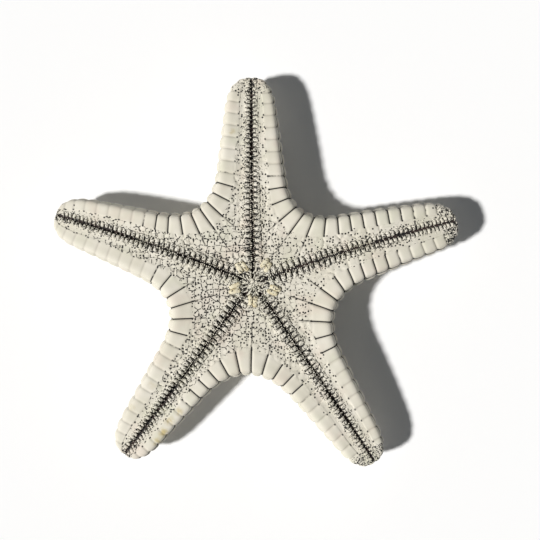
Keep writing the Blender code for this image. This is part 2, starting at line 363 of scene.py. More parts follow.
def smooth_rows(rows):
    """Points of every row, and each row's number on the scale of the named places."""
    chord = np.linalg.norm(np.diff(rows, axis=0), axis=2)[:, :, None] + 1e-6
    slope = np.diff(rows, axis=0) / chord
    tangent = np.empty_like(rows)
    tangent[0], tangent[-1] = slope[0], slope[-1]
    near, far = chord[:-1], chord[1:]
    tangent[1:-1] = (slope[:-1] * far + slope[1:] * near) / (near + far)
    tangent[-1][:, 2] = 0.0
    out, places = [], []
    for band, count in enumerate(BAND_ROWS):
        a, b, h = rows[band], rows[band + 1], chord[band]
        for k in range(count):
            t = k / count
            s, u = t * t * (3.0 - 2.0 * t), 1.0 - t
            bend = t * u * (u * tangent[band] - t * tangent[band + 1]) * h
            out.append(a + (b - a) * s + bend)
            places.append(band + t)
    out.append(rows[-1])
    places.append(float(BACK_MIDDLE))
    return np.array(out), np.array(places)


# %% Both halves of every arm
halves = []
for index, arm in enumerate(ARMS):
    edges = [edge_stations(half_outline(index, side)) for side in (1, -1)]
    stations = groove_stations(arm, edges)
    for side, edge in zip((1, -1), edges):
        rows, measures = cross_section(arm, edge, stations)
        points, places = smooth_rows(rows)
        kept = {"edge": edge, "stations": stations, "points": points, **measures}
        halves.append(SimpleNamespace(arm=index, side=side, **kept))
print("rows on each half arm:", len(places), "halves:", len(halves))

# %% [markdown]
# ## Plates of the field and of the back
#
# Between the grooves and the border lie small plates that grew until they met, so their
# seams run midway between neighbours. That is a Voronoi pattern: each point belongs to the
# nearest centre. The centres stand in slightly disturbed rows beside the grooves, as the
# real plates do, and in a loose hexagonal order on the back.

# %% Centres of the small plates
FIELD_PITCH = 2.55
FIELD_ROW = 2.7
BACK_PITCH = 3.9
JITTER = 0.28
field_rng = np.random.default_rng(11)


def across(half, s):
    """Groove point at a groove distance s, and the unit vector from it to the edge."""
    groove = groove_points(ARMS[half.arm], [s])[0]
    edge = [np.interp(s, half.stations, half.edge[:, k]) for k in (0, 1)]
    line = np.array(edge) - groove
    return groove, line / np.linalg.norm(line)


def field_centres(half):
    """Centres of the small plates between groove and border on one half arm."""
    found = []
    columns = np.arange(FIELD_PITCH, half.stations[-1], FIELD_PITCH)
    for number, s in enumerate(columns):
        groove, line = across(half, s)
        foot = np.interp(s, half.stations, half.foot)
        inner = np.interp(s, half.stations, half.inner)
        out = foot + FIELD_ROW * (0.35 + 0.5 * (number % 2))
        while out < inner - 0.2 * FIELD_ROW:
            shift = field_rng.uniform(-JITTER, JITTER, 2) * FIELD_PITCH
            found.append(groove + line * out + shift)
            out += FIELD_ROW
    return found


def back_centres():
    """Centres of the back's plates over the whole square that holds the star."""
    reach = max(arm.reach for arm in ARMS)
    found = []
    for row, y in enumerate(np.arange(-reach, reach, BACK_PITCH * math.sqrt(0.75))):
        for x in np.arange(-reach, reach, BACK_PITCH) + BACK_PITCH * 0.5 * (row % 2):
            found.append(np.array([x, y]) + field_rng.uniform(-JITTER, JITTER, 2) * BACK_PITCH)
    return found


def centre_tree(centres):
    """Search tree over plate centres."""
    tree = kdtree.KDTree(len(centres))
    for k, (x, y) in enumerate(centres):
        tree.insert((x, y, 0.0), k)
    tree.balance()
    return tree


field_tree = centre_tree([c for half in halves for c in field_centres(half)])
back_tree = centre_tree(back_centres())


def seam_distance(tree, x, y):
    """Distance from a point to the seam between its plate and the next one."""
    (a, _, near), (b, _, far) = tree.find_n((x, y, 0.0), 2)
    return (far * far - near * near) / (2.0 * (a - b).length)


# %% [markdown]
# ## Knobs of the back
#
# The hidden side carries low worn knobs: one at the centre, a ring of five, and a row along
# each arm. The animal rests on the first six. They are part of the skin here, because a
# knob is only a plate that grew thicker, with no seam at its foot.

# %% Knob places and profile
Knob = namedtuple("Knob", "distance radius height")
CENTRE_KNOB = Knob(0.0, 5.6, None)
RING_KNOB = Knob(15.5, 4.6, None)
ARM_KNOBS = (
    Knob(26.5, 3.7, 2.1),
    Knob(36.0, 3.3, 1.8),
    Knob(45.0, 2.9, 1.5),
    Knob(53.5, 2.5, 1.2),
)
GROUND_CLEARANCE = 0.35
KNOB_FLAT = 0.5  # share of a knob's radius that is worn flat
KNOB_FOOT = 1.12  # where a knob runs out, as a share of its radius
knobs = [(0.0, 0.0, CENTRE_KNOB.radius, 0.0)]
for arm in ARMS:
    x, y = groove_points(arm, [RING_KNOB.distance])[0]
    knobs.append((x, y, RING_KNOB.radius, 0.0))
    for knob in ARM_KNOBS:
        x, y = groove_points(arm, [knob.distance])[0]
        level = back_height(knob.distance / arm.reach)
        knobs.append((x, y, knob.radius, max(level - knob.height, GROUND_CLEARANCE)))


def with_knobs(points):
    """Lowers the points of the back onto the knobs that stand there."""
    for x, y, radius, crown in knobs:
        share = np.hypot(points[:, 0] - x, points[:, 1] - y) / radius
        q = smooth((KNOB_FOOT - share) / (KNOB_FOOT - KNOB_FLAT))
        lowered = points[:, 2] + (crown - points[:, 2]) * q
        points[:, 2] = np.where(points[:, 2] > crown, lowered, points[:, 2])
    return points


print("knobs:", len(knobs))

# %% [markdown]
# ## The skin as one closed mesh
#
# Ten grids, one for each half arm, are stitched along the grooves, the notches and the
# middle of the back. Then every point is moved along its own normal: down into the seams
# and up over the middle of each plate. The depth of a seam is also kept on the points as an
# attribute, so that the material can put black lines and painted shade exactly into it.

# %% Measures of the border's seams
BORDER_SEAM_WIDTH = 0.42
BORDER_SEAM_DEPTH = 0.5
MIDDLE_SEAM_DEPTH = 0.12
BORDER_CROWN = 0.3
CROWN_REACH = 0.9
INNER_FADE = 1.2
SCALLOP_DEPTH = 0.38
SCALLOP_WIDTH = 0.85
FAR = 9.0  # a distance at which nothing of a seam is left
ORAL_END = 7  # the place of the shoulder, below which all places lie on the mouth side
# How far out from its notch the border's seams stay black, on both sides of each arm.
CRISP_LENGTHS = ((36.0, 27.0), (11.0, 12.0), (9.5, 17.0), (21.0, 9.0), (12.0, 16.0))
# How clearly the border plates of each arm stand apart, and how much painted shade
# blackens the seam below them on the side away from the sun.
PLATE_RELIEF = (0.85, 0.7, 0.28, 0.6, 0.68)
RIM_SHADE = (0.5, 0.28, 0.3, 0.8, 0.38)
SHADED_SIDE = unit_vector(-35.0)  # painted shade: the rim's seam is blackened on sides facing this way, away from the sun


def bell(distance, width):
    """One at a seam and nothing well away from it."""
    return np.exp(-((distance / width) ** 2))



# %% Distance from every point to every seam
def measured(half):
    """Distances in mm, and shares from 0 to 1, for each point of half an arm."""
    points, arm = half.points, ARMS[half.arm]
    shape = points.shape[:2]
    distance, aside = arm_coordinates(arm, points[:, :, :2].reshape(-1, 2))
    plate = np.broadcast_to(plate_place[None, :], shape)
    step = np.linalg.norm(np.diff(points[:, :, :2], axis=1), axis=2)
    run = np.concatenate([np.zeros((len(places), 1)), np.cumsum(step, axis=1)], axis=1)
    local_pitch = np.gradient(run, axis=1) / np.gradient(plate_place)[None, :]
    reach = half.from_notch / CRISP_LENGTHS[half.arm][0 if half.side > 0 else 1]
    thickness = np.linalg.norm(np.diff(points, axis=0), axis=2)
    down = np.concatenate([np.zeros((1, shape[1])), np.cumsum(thickness, axis=0)])
    seams = (INNER_SEAM_ROW, MIDDLE_SEAM_ROW, LOWER_SEAM_ROW)
    inner, middle, lower = (down[np.argmin(np.abs(places - row))][None, :] for row in seams)
    outward = np.gradient(half.edge, axis=0) @ np.array([[0.0, -1.0], [1.0, 0.0]])
    outward = outward / np.linalg.norm(outward, axis=1)[:, None] * -half.side
    return SimpleNamespace(
        points=points,
        arm=half.arm,
        place=np.broadcast_to(places[:, None], shape),
        plate=plate,
        distance=distance.reshape(shape),
        aside=np.abs(aside.reshape(shape)),
        to_seam=np.abs(plate - np.round(plate)) * local_pitch,
        to_inner=np.abs(down - inner),
        to_middle=np.abs(down - middle),
        to_lower=np.abs(down - lower),
        share_to_border=down / inner,
        crisp=np.broadcast_to(np.exp(-(reach**2))[None, :], shape),
        # shaded is one on the arms' sides that face away from the sun, where painted shade goes.
        shaded=np.broadcast_to(smooth(0.35 + 0.9 * (outward @ SHADED_SIDE))[None, :], shape),
        from_mouth=np.linalg.norm(points[:, :, :2], axis=2),
        tipward=np.clip(distance.reshape(shape) / arm.reach, 0.0, 1.0),
        groove_end=half.stations[-1],
        arm_reach=arm.reach,
    )


# %% The border plates
PIT_AT_SEAM = 0.5
LOWER_INK = 0.3
RUN_ON_INK = 0.32


def border_shift(m, border):
    """How far the border's points move out: crowned plates between seams, scalloped rim."""
    nearest = np.minimum(np.minimum(m.to_seam, m.to_middle), m.to_lower)
    nearest = np.minimum(nearest, m.to_inner + INNER_FADE * (1.0 - m.crisp))
    crown = 1.0 - np.exp(-nearest / CROWN_REACH)
    relief = np.maximum(m.crisp, PLATE_RELIEF[m.arm])
    shift = BORDER_CROWN * (crown - 0.5) * smooth(m.to_inner / INNER_FADE + m.crisp) * relief
    cut = bell(m.to_seam, BORDER_SEAM_WIDTH) * relief * (0.5 + 0.5 * m.crisp)
    shift = np.where(border, shift - BORDER_SEAM_DEPTH * cut, 0.0)
    shift -= MIDDLE_SEAM_DEPTH * bell(m.to_middle, BORDER_SEAM_WIDTH)
    rim = smooth((m.place - ORAL_END) / 1.5) * border
    return shift - SCALLOP_DEPTH * bell(m.to_seam, SCALLOP_WIDTH) * rim * np.clip(relief, 0.5, 1.0)


def border_lines(m, border):
    """Distance to the nearest seam that shows, and its ink, with painted shade at the rim."""
    seam = np.where(border, m.to_seam, FAR)
    ink = np.where(border, np.maximum(m.crisp, 0.02), 0.0)
    # Painted shade: away from the sun, the seam below the rim is painted black over a wider band.
    rim_and_shade_line = m.to_middle * np.where(m.place > MIDDLE_SEAM_ROW, 1.0 - 0.7 * m.shaded, 1.0)
    rim_ink_and_shade = np.maximum(m.crisp * 0.8, 0.1 + RIM_SHADE[m.arm] * m.shaded)
    # A pit marks the inner end of each seam, and the seam below a notch runs on inwards.
    pit = np.maximum(np.hypot(m.to_inner, m.to_seam) - 0.12, 0.0)
    by_notch = (np.round(m.plate) <= 1) & (m.share_to_border > 0.62)
    for line, line_ink, mask in (
        (rim_and_shade_line, rim_ink_and_shade, m.place > ORAL_END),
        (m.to_lower, LOWER_INK, m.place > LOWER_SEAM_ROW - 1),
        (pit, 1.0, (pit < PIT_AT_SEAM) & (m.place < ORAL_END)),
        (m.to_seam, RUN_ON_INK, by_notch & (m.place > 3) & (m.place < INNER_SEAM_ROW)),
    ):
        closer = mask & (line < seam)
        seam = np.where(closer, line, seam)
        ink = np.where(closer, line_ink, ink)
    return seam, ink


# %% The small plates of the field and of the back
FIELD_CROWN = 0.30
FIELD_SEAM_DEPTH = 0.18
FIELD_SEAM_WIDTH = 0.28
BACK_CROWN = 0.30
SMALL_CROWN_REACH = 0.55
EDGE_FADE = 0.5


def small_plates(m, field, back):
    """Distance to the nearest seam between small plates, and the shift that it gives."""
    to_small = np.full(m.place.shape, FAR)
    for mask, tree in ((field, field_tree), (back, back_tree)):
        for i, j in np.argwhere(mask):
            to_small[i, j] = seam_distance(tree, m.points[i, j, 0], m.points[i, j, 1])
    raised = 1.0 - np.exp(-to_small / SMALL_CROWN_REACH)
    crown = FIELD_CROWN * (raised - 0.6) * np.clip(m.to_inner / EDGE_FADE, 0.0, 1.0)
    crown -= FIELD_SEAM_DEPTH * bell(to_small, FIELD_SEAM_WIDTH)
    return to_small, np.where(field, crown, np.where(back, BACK_CROWN * (raised - 0.5), 0.0))


# %% The band under the comb
BAND_WIDTH = (2.7, 1.3)  # at the mouth and at the tip
BAND_DROP = 0.6
BAND_END = 3.0  # the length over which the band narrows before the groove's end


def band_mask(m):
    """One inside the sunk band under the comb and nothing outside, and its half width."""
    left_over = m.groove_end - m.distance
    width = graded(BAND_WIDTH, m.tipward)
    width *= np.clip((left_over + 0.5) / BAND_END, 0.2, 1.0)
    band = smooth((width + 0.25 - m.aside) / 0.5) * smooth((left_over + 0.4) / 0.6)
    return band * (m.place < ORAL_END), width


# %% Black dots in the pits, and fine wrinkles
MOUTH_REACH = 24.0  # how far from the mouth the black dots are densest
FIELD_DOTS = (2.2, 1.3, 0.7, 0.8, 0.85)  # black dots between border and comb, for each arm
TIP_DOT_LENGTH = 7.5
TANGLE_WIDTH = (4.5, 2.6)  # at the mouth and at the tip
COMB_TANGLE = 0.68
MOUTH_TANGLE = 0.46
TIP_WRINKLES = (0.9, 0.45, 0.05, 0.05, 0.6)  # wrinkling of each arm's tip


def wrinkle_amount(m):
    """Amount of black wrinkles beside the groove and at the mouth, and at the tip."""
    width = graded(TANGLE_WIDTH, m.tipward)
    beside = COMB_TANGLE * smooth((width + 0.6 - m.aside) / 1.6)
    around = MOUTH_TANGLE * smooth((15.0 - m.from_mouth) / 6.0)
    near_tip = TIP_WRINKLES[m.arm] * smooth((m.distance - m.arm_reach + 9.0) / 5.0)
    return np.maximum(beside, around) * (m.place < ORAL_END), near_tip * (m.place < 9.5)


def dot_share(m, field, band_width, to_small):
    """Share of pits that show as black dots, and ink between the small plates."""
    left_side = np.clip(-m.points[:, :, 0] / 30.0, -1.0, 1.0)
    near_mouth = np.exp(-((m.from_mouth / MOUTH_REACH) ** 2))
    tip = (m.place < 7.6) & (m.distance > m.arm_reach - TIP_DOT_LENGTH)
    pitted = (m.place > 2.0) & (m.place < 5.7) & (m.aside > band_width)
    to_dots = np.where(pitted & ~field, 0.55, to_small)
    to_dots = np.where(tip, 0.45, to_dots)
    pits = 0.17 + 0.2 * near_mouth + 0.06 * left_side + 0.22 * bell(to_dots, 0.6)
    pits *= np.where(field, 1.0, (0.35 + 1.4 * bell(m.to_seam, 1.1)) * FIELD_DOTS[m.arm])
    pits *= smooth(np.where(m.place < 5, m.to_inner + 0.7, 0.7 - m.to_inner) / 1.4)
    outlines = np.where(field, 0.42 + 0.18 * near_mouth + 0.11 * left_side, 0.26)
    return np.where(pitted | field, pits, 0.0), np.where(tip, 0.0, outlines)


# %% All patterns of half an arm
ATTRIBUTES = ("shift", "seam_mm", "seam_ink_and_shade", "plate_ink", "band", "tangle", "groove", "field")


def pattern_of(half):
    """Shift along the normal, seams, inks and masks for every point of half an arm."""
    m = measured(half)
    border = (m.place >= INNER_SEAM_ROW) & (m.place <= LOWER_SEAM_ROW)
    field = (m.place > 2.9) & (m.place < INNER_SEAM_ROW)
    back = m.place > LOWER_SEAM_ROW
    to_small, small_shift = small_plates(m, field, back)
    band, band_width = band_mask(m)
    seam, ink = border_lines(m, border)
    pits, outlines = dot_share(m, field, band_width, to_small)
    tangle, near_tip = wrinkle_amount(m)
    shift = border_shift(m, border) + small_shift - BAND_DROP * band * np.clip(m.place, 0.0, 1.0)
    return {
        "shift": shift,
        "seam_mm": seam,
        "seam_ink_and_shade": ink,
        "plate_ink": outlines * (field | back),
        "band": band,
        "tangle": np.maximum(tangle, near_tip),
        "groove": np.clip(1.0 - m.place, 0.0, 1.0),
        "field": np.maximum(pits, near_tip * 0.6),
    }

# %% Stitch the halves
WELD = 0.012


def skin_mesh():
    """Mesh of the whole skin with the patterns as attributes, not yet moved."""
    coordinates, faces, values = [], [], {name: [] for name in ATTRIBUTES}
    start = 0
    for half in halves:
        pattern = pattern_of(half)
        points = half.points.copy()
        rows, columns = points.shape[:2]
        under = places > MIDDLE_SEAM_ROW + 1
        points[under] = with_knobs(points[under].reshape(-1, 3)).reshape(-1, columns, 3)
        coordinates.append(points.reshape(-1, 3))
        for name in ATTRIBUTES:
            values[name].append(pattern[name].reshape(-1))
        corner = start + np.arange(rows * columns).reshape(rows, columns)
        quad = [corner[:-1, :-1], corner[1:, :-1], corner[1:, 1:], corner[:-1, 1:]]
        quad = np.stack(quad if half.side < 0 else quad[::-1], -1).reshape(-1, 4)
        faces.append(quad)
        start += rows * columns
    data = bpy.data.meshes.new("starfish_skin")
    flat = np.concatenate(coordinates) * MM
    data.from_pydata(flat.tolist(), [], np.concatenate(faces).tolist())
    for name in ATTRIBUTES:
        layer = data.attributes.new(name, "FLOAT", "POINT")
        layer.data.foreach_set("value", np.concatenate(values[name]).astype(np.float32))
    mesh = bmesh.new()
    mesh.from_mesh(data)
    bmesh.ops.remove_doubles(mesh, verts=mesh.verts, dist=WELD * MM)
    bmesh.ops.recalc_face_normals(mesh, faces=mesh.faces)
    open_edges = sum(not edge.is_manifold for edge in mesh.edges)
    mesh.to_mesh(data)
    mesh.free()
    print("skin:", len(data.vertices), "points,", open_edges, "open edges")
    return data


skin_data = skin_mesh()


# %% Move every point along its normal
def linked_object(name, data):
    """Object that holds the data, in the scene."""
    thing = bpy.data.objects.new(name, data)
    bpy.context.scene.collection.objects.link(thing)
    return thing


count = len(skin_data.vertices)
position = np.empty(count * 3)
skin_data.vertices.foreach_get("co", position)
position = position.reshape(-1, 3)
normal = np.empty(count * 3, np.float32)
skin_data.vertex_normals.foreach_get("vector", normal)
normal = normal.reshape(-1, 3)
shift = np.empty(count, np.float32)
skin_data.attributes["shift"].data.foreach_get("value", shift)
position = position + normal * shift[:, None] * MM
position[:, 2] = np.maximum(position[:, 2], 0.0)
skin_data.vertices.foreach_set("co", position.reshape(-1))
skin_data.attributes.remove(skin_data.attributes["shift"])
skin_data.shade_smooth()
skin_data.update()
skin = linked_object("starfish_skin", skin_data)
print("moved by", round(float(shift.min()), 2), "to", round(float(shift.max()), 2), "mm")

# %% [markdown]
# ## Materials
#
# A dead starfish that has lain in the sun is calcite, the same mineral as chalk: bleached to
# a warm white, quite matt, and never one even colour. Its seams and pits are painted black.
# The seams also get a soft painted shade, the rim's seam is painted black as shade on the
# side away from the sun, and the band under the comb is painted black as shade. So each
# material mixes a patchy cream with near-black, and the attributes of the mesh say where the
# black goes. Painting an image would do the same, but it would blur up close.

# %% Helpers for colours and nodes
# Some inputs go by number. RANGE has 0 for the value, 1 and 2 for its start and end, and 3
# and 4 for the results there. MIX has 0 for the share, and 6 and 7 for the two colours.
MATH, VECTOR = "ShaderNodeMath", "ShaderNodeVectorMath"
NOISE, RANGE, MIX = "ShaderNodeTexNoise", "ShaderNodeMapRange", "ShaderNodeMix"


def srgb(text):
    """Linear colour from an sRGB hex value such as E1DBCD."""
    channels = [int(text[k : k + 2], 16) / 255.0 for k in (0, 2, 4)]
    linear = [c / 12.92 if c <= 0.04045 else ((c + 0.055) / 1.055) ** 2.4 for c in channels]
    return (*linear, 1.0)


def spaced(where, millimetres, **more):
    """Inputs of a texture whose cells are that many millimetres wide."""
    return {"Vector": where, "Scale": 1.0 / (millimetres * MM), **more}


def add_node(tree, kind, inputs=(), **settings):
    """Adds a node with its settings, fills its inputs, and returns its outputs.

    inputs maps the name or number of an input to a value or to the output that feeds it.
    """
    node = tree.nodes.new(kind)
    for name, value in settings.items():
        setattr(node, name, value)
    for key, value in dict(inputs).items():
        if isinstance(value, bpy.types.NodeSocket):
            tree.links.new(value, node.inputs[key])
        else:
            node.inputs[key].default_value = value
    return node.outputs


CALCITE_IOR = 1.49  # the lower of calcite's two values


def new_material(name, roughness, ior):
    """Material with a Principled BSDF, its tree, and the shader's inputs."""
    material = bpy.data.materials.new(name)
    material.use_nodes = True
    shader = material.node_tree.nodes["Principled BSDF"].inputs
    shader["Roughness"].default_value = roughness
    shader["IOR"].default_value = ior
    return material, material.node_tree, shader


# %% Cream of bleached calcite, in patches
CREAM = srgb("D9D4C4")
CREAM_PALE = srgb("E2DDD0")
CREAM_GREEN = srgb("D0D0BA")
CREAM_PINK = srgb("DCCBBE")
PATCH_SIZE = 9.0
MOTTLE_SIZE = 2.2


def cream(tree, where):
    """Patchy cream colour of bleached calcite, at Object coordinates."""
    add = partial(add_node, tree)
    patch = add(NOISE, spaced(where, PATCH_SIZE, Detail=3.0))[0]
    mottle = add(NOISE, spaced(where, MOTTLE_SIZE, Detail=4.0))[0]
    moved = add("ShaderNodeMapping", {"Vector": where, "Location": (0.13, 0.07, 0.0)})[0]
    tint = add(NOISE, spaced(moved, PATCH_SIZE, Detail=2.0))[0]
    colour = CREAM
    for noise, start, end, most, tone in (
        (patch, 0.35, 0.65, 1.0, CREAM_PALE),
        (tint, 0.56, 0.7, 0.4, CREAM_GREEN),
        (tint, 0.44, 0.3, 0.35, CREAM_PINK),
        (mottle, 0.55, 0.8, 0.25, CREAM_GREEN),
    ):
        share = add(RANGE, {0: noise, 1: start, 2: end, 4: most})[0]
        colour = add(MIX, {0: share, 6: colour, 7: tone}, data_type="RGBA")[2]
    return colour


# %% Thin winding lines of dried skin
FOLD_SIZE = 1.7
FOLD_LEVELS = 5.0
GAP_SIZE = 0.8


def wrinkles(tree, where, amount):
    """Ink of thin winding lines, which are level lines of a noise, broken by a finer noise.

    The amount runs from about 0.2, where none is left, to 1, where they form a dense tangle.
    """
    add = partial(add_node, tree)
    folds = add(NOISE, spaced(where, FOLD_SIZE, Detail=1.0))[0]
    steps = add(MATH, {0: folds, 1: FOLD_LEVELS}, operation="MULTIPLY")[0]
    level = add(MATH, {0: steps}, operation="FRACT")[0]
    offset = add(MATH, {0: level, 1: 0.5}, operation="SUBTRACT")[0]
    aside = add(MATH, {0: offset}, operation="ABSOLUTE")[0]
    line = add(RANGE, {0: aside, 1: 0.16, 2: 0.23, 3: 1.0, 4: 0.0})[0]
    gaps = add(NOISE, spaced(where, GAP_SIZE, Detail=2.0))[0]
    filled = add(MATH, {0: gaps, 1: amount}, operation="ADD")[0]
    kept = add(RANGE, {0: filled, 1: 0.95, 2: 1.05})[0]
    return add(MATH, {0: line, 1: kept}, operation="MULTIPLY")[0]


# %% Ink of the seams between the border plates
def border_ink(tree, read, breaks):
    """Soft painted shade beside every border seam, and the crisp broken black of the inked ones."""
    add = partial(add_node, tree)
    line = add(RANGE, {0: read["seam_mm"], 1: 0.2, 2: 0.3, 3: 1.0, 4: 0.0})[0]
    inky = add(MATH, {0: breaks, 1: 0.5, 2: read["seam_ink_and_shade"]}, operation="MULTIPLY_ADD")[0]
    kept = add(RANGE, {0: inky, 1: 0.5, 2: 0.62})[0]
    black = add(MATH, {0: line, 1: kept}, operation="MULTIPLY")[0]
    # Painted shade: a soft grey that deepens towards each border seam.
    shade = add(RANGE, {0: read["seam_mm"], 2: 0.7, 3: 0.3, 4: 0.0})[0]
    has_seam = add(RANGE, {0: read["seam_ink_and_shade"], 2: 0.02})[0]
    grey = add(MATH, {0: shade, 1: has_seam}, operation="MULTIPLY")[0]
    return grey, black


# %% Outlines of the small plates, and pits beside them
PLATE_SIZE = 2.4
PLATE_LINE = 0.17
DASH_SIZE = 0.6
PIT_SPACING = 1.15
PIT_RADIUS = 0.32
CLUMP_SIZE = 3.2


def outline_ink(tree, where, read):
    """Faint painted shade along every small plate's edge, and its black dashes."""
    add = partial(add_node, tree)
    plates = add(
        "ShaderNodeTexVoronoi",
        spaced(where, PLATE_SIZE, Randomness=0.7),
        feature="DISTANCE_TO_EDGE",
        voronoi_dimensions="2D",
    )["Distance"]
    edge = PLATE_LINE / PLATE_SIZE
    line = add(RANGE, {0: plates, 1: 0.85 * edge, 2: 1.15 * edge, 3: 1.0, 4: 0.0})[0]
    ragged = {0: add(NOISE, spaced(where, DASH_SIZE, Detail=1.0))[0], 1: 0.9, 2: read["plate_ink"]}
    inky = add(MATH, ragged, operation="MULTIPLY_ADD")[0]
    kept = add(RANGE, {0: inky, 1: 0.93, 2: 1.03})[0]
    black = add(MATH, {0: line, 1: kept}, operation="MULTIPLY")[0]
    # Painted shade: a faint grey that deepens towards each small plate's edge.
    shade = add(RANGE, {0: plates, 1: 0.02, 2: 0.16, 3: 0.16, 4: 0.0})[0]
    has_plates = add(RANGE, {0: read["plate_ink"], 2: 0.1})[0]
    grey = add(MATH, {0: shade, 1: has_plates}, operation="MULTIPLY")[0]
    return grey, black


def pit_ink(tree, where, read):
    """Black dots at random places in loose clumps, as many as the mesh says."""
    add = partial(add_node, tree)
    cells = add(
        "ShaderNodeTexVoronoi",
        spaced(where, PIT_SPACING, Randomness=0.85),
        voronoi_dimensions="2D",
    )
    edge = PIT_RADIUS / PIT_SPACING
    dot = add(RANGE, {0: cells["Distance"], 1: edge, 2: 1.12 * edge, 3: 1.0, 4: 0.0})[0]
    pick = add("ShaderNodeSeparateColor", {"Color": cells["Color"]})[0]
    clumps = add(NOISE, spaced(where, CLUMP_SIZE, Detail=1.0))[0]
    dense = add(RANGE, {0: clumps, 1: 0.42, 2: 0.58, 3: 0.35, 4: 1.6})[0]
    share = add(MATH, {0: read["field"], 1: dense}, operation="MULTIPLY")[0]
    chosen = add(MATH, {0: pick, 1: share}, operation="LESS_THAN")[0]
    return add(MATH, {0: dot, 1: chosen}, operation="MULTIPLY")[0]


# %% Yellow stains on some plates
STAIN_YELLOW = srgb("BFB083")
STAINS = (  # x and y of the middle, radius and strength of each patch of dried skin, in mm
    (-31.7, -51.8, 2.6, 0.9),
    (-28.0, -48.4, 2.2, 0.7),
    (-33.8, -56.6, 2.6, 1.0),
    (-36.5, -60.0, 2.4, 0.8),
    (-45.8, -47.1, 1.8, 0.35),
    (-38.0, -38.6, 2.2, 0.3),
    (-38.7, -3.4, 1.8, 0.6),
    (-8.0, 57.0, 1.6, 0.6),
)


def stained(tree, where, colour, breaks):
    """The colour with a ragged yellow patch at every stain."""
    add = partial(add_node, tree)
    flat = add(VECTOR, {0: where, 1: (1.0, 1.0, 0.0)}, operation="MULTIPLY")[0]
    ragged = add(RANGE, {0: breaks, 1: 0.3, 2: 0.6})[0]
    for x, y, radius, strength in STAINS:
        away = add(VECTOR, {0: flat, 1: (x * MM, y * MM, 0.0)}, operation="DISTANCE")["Value"]
        patch = add(RANGE, {0: away, 1: 0.3 * radius * MM, 2: radius * MM, 3: strength, 4: 0.0})[0]
        share = add(MATH, {0: patch, 1: ragged}, operation="MULTIPLY")[0]
        colour = add(MIX, {0: share, 6: colour, 7: STAIN_YELLOW}, data_type="RGBA")[2]
    return colour


# %% Bleached calcite of the skin
# Black of the seams and pits, also used as painted shade at the rim and under the comb.
SEAM_AND_SHADE_BLACK = srgb("181716")
SEAM_SHADE_GREY = srgb("A59F93")
GROOVE_BROWN = srgb("3A2A25")
BREAK_SIZE = 1.6
GRAIN_SIZE = 0.35


def skin_material():
    """Dried calcite plates: matt, chalky and warm white, black in seams and pits, and painted
    shade.
    """
    material, tree, shader = new_material("bleached calcite plates", 0.78, CALCITE_IOR)
    add = partial(add_node, tree)
    where = add("ShaderNodeTexCoord")["Object"]
    read = {}
    for name in ATTRIBUTES[1:]:
        read[name] = add("ShaderNodeAttribute", attribute_name=name)["Fac"]
    breaks = add(NOISE, spaced(where, BREAK_SIZE, Detail=2.0))[0]
    seam_shade, black = border_ink(tree, read, breaks)
    plate_edge_shade, dashes = outline_ink(tree, where, read)
    pits = pit_ink(tree, where, read)
    # Painted shade: the band under the comb is painted black, so the gaps between the comb's plates
    # and spines show dark.
    band = add(RANGE, {0: read["band"], 1: 0.25, 2: 0.6})[0]
    for ink in (dashes, pits, band, wrinkles(tree, where, read["tangle"])):
        black = add(MATH, {0: black, 1: ink}, operation="MAXIMUM")[0]
    patchy = add(RANGE, {0: breaks, 1: 0.4, 2: 0.6})[0]
    brown = add(MATH, {0: read["groove"], 1: patchy}, operation="MULTIPLY")[0]

    colour = cream(tree, where)
    # Painted shade beside the seams goes in as grey.
    for share in (seam_shade, plate_edge_shade):
        colour = add(MIX, {0: share, 6: colour, 7: SEAM_SHADE_GREY}, data_type="RGBA")[2]
    colour = stained(tree, where, colour, breaks)
    for share, tone in ((black, SEAM_AND_SHADE_BLACK), (brown, GROOVE_BROWN)):
        colour = add(MIX, {0: share, 6: colour, 7: tone}, data_type="RGBA")[2]
    tree.links.new(colour, shader["Base Color"])

    height = add(NOISE, spaced(where, GRAIN_SIZE, Detail=3.0))[0]
    for ink, depth in ((pits, -2.0), (plate_edge_shade, -3.0)):
        height = add(MATH, {0: ink, 1: depth, 2: height}, operation="MULTIPLY_ADD")[0]
    bump = add("ShaderNodeBump", {"Height": height, "Strength": 0.35, "Distance": 0.08 * MM})
    tree.links.new(bump[0], shader["Normal"])
    return material


skin_data.materials.clear()
skin_data.materials.append(skin_material())
print("skin material nodes:", len(skin_data.materials[0].node_tree.nodes))

# %% Calcite of the spines and grains, and of the jaws
JAW_CREAM = srgb("E6DEC4")
JAW_YELLOW = srgb("DFD3B0")
JAW_OLIVE = srgb("A58D55")
SMEAR_SIZE = 2.6


def spine_material(name, amount):
    """Fine calcite spines and plates, as white as the skin, with black dried skin in lines."""
    material, tree, shader = new_material(name, 0.7, CALCITE_IOR)
    add = partial(add_node, tree)
    where = add("ShaderNodeTexCoord")["Object"]
    ink = {0: wrinkles(tree, where, amount), 6: cream(tree, where), 7: SEAM_AND_SHADE_BLACK}
    tree.links.new(add(MIX, ink, data_type="RGBA")[2], shader["Base Color"])
    grain = add(NOISE, spaced(where, GRAIN_SIZE))[0]
    bump = add("ShaderNodeBump", {"Height": grain, "Strength": 0.3, "Distance": 0.05 * MM})
    tree.links.new(bump[0], shader["Normal"])
    return material


